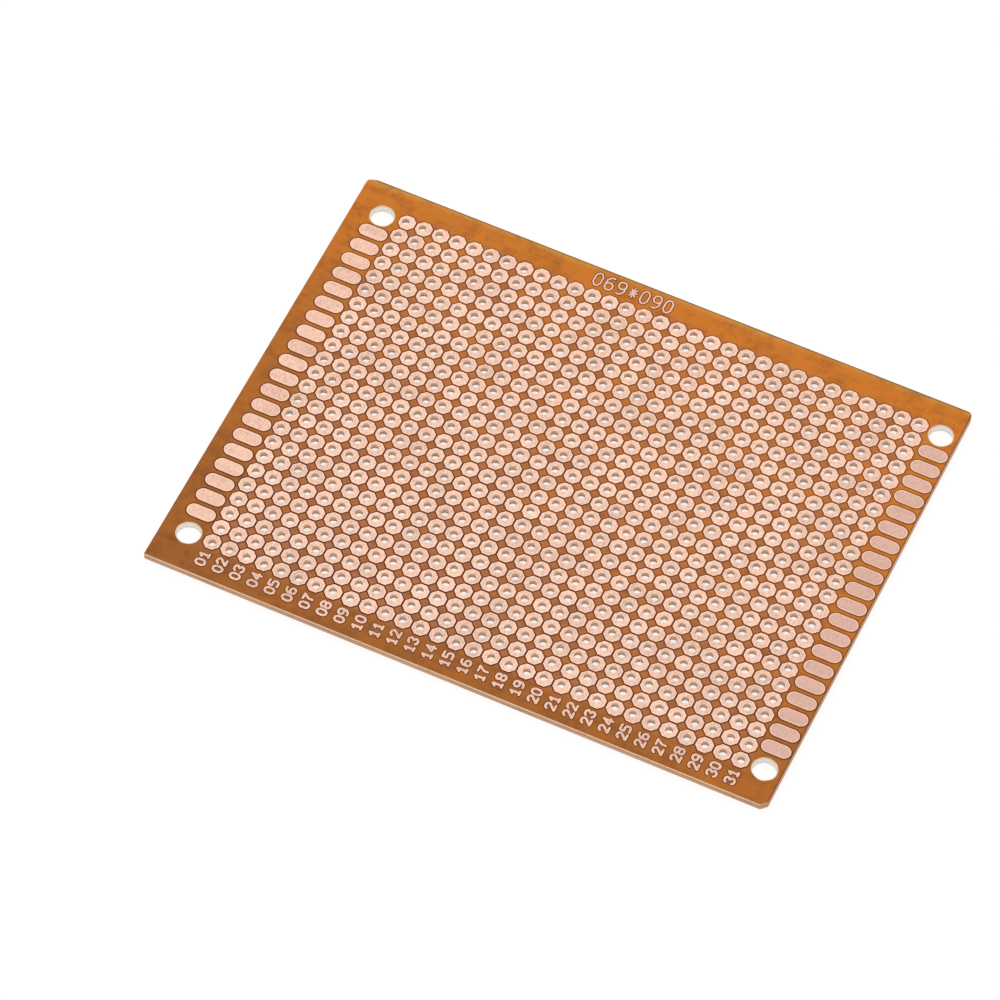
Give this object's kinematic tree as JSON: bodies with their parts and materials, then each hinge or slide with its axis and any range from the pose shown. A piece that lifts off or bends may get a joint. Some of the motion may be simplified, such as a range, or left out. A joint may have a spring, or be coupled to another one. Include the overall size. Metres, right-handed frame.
{
  "type": "prototype board",
  "caption": "Single-sided punched prototype board: brown paper-phenolic sheet with a grid of drilled octagonal copper pads, edge finger pads and corner mounting holes.",
  "frame": {"origin": "middle of the bare underside, at the centre of the board's bounding box", "axes": "+X along the numbered long edge, toward the highest column number; +Y away from the numbered edge; +Z out of the copper side"},
  "size_m": [0.09, 0.0688, 0.0012],
  "materials": {
    "laminate": "brown paper-phenolic laminate, resin sheen on the faces, paler broken fibre on the cut edges",
    "pad_copper": "bright etched copper foil under a thin flux coat, fine brushed grain",
    "finger_copper": "bright etched copper foil under a thin flux coat, fine brushed grain",
    "digit_copper": "bright etched copper foil lines"
  },
  "bodies": {
    "root": {"laminate": "laminate", "pads_band_1": "pad_copper", "pads_band_2": "pad_copper", "pads_band_3": "pad_copper", "pads_band_4": "pad_copper", "pads_band_5": "pad_copper", "pads_band_6": "pad_copper", "pads_band_7": "pad_copper", "pads_band_8": "pad_copper", "left_fingers": "finger_copper", "right_fingers": "finger_copper", "column_numbers": "digit_copper", "size_numbers": "digit_copper"}
  },
  "joints": []
}
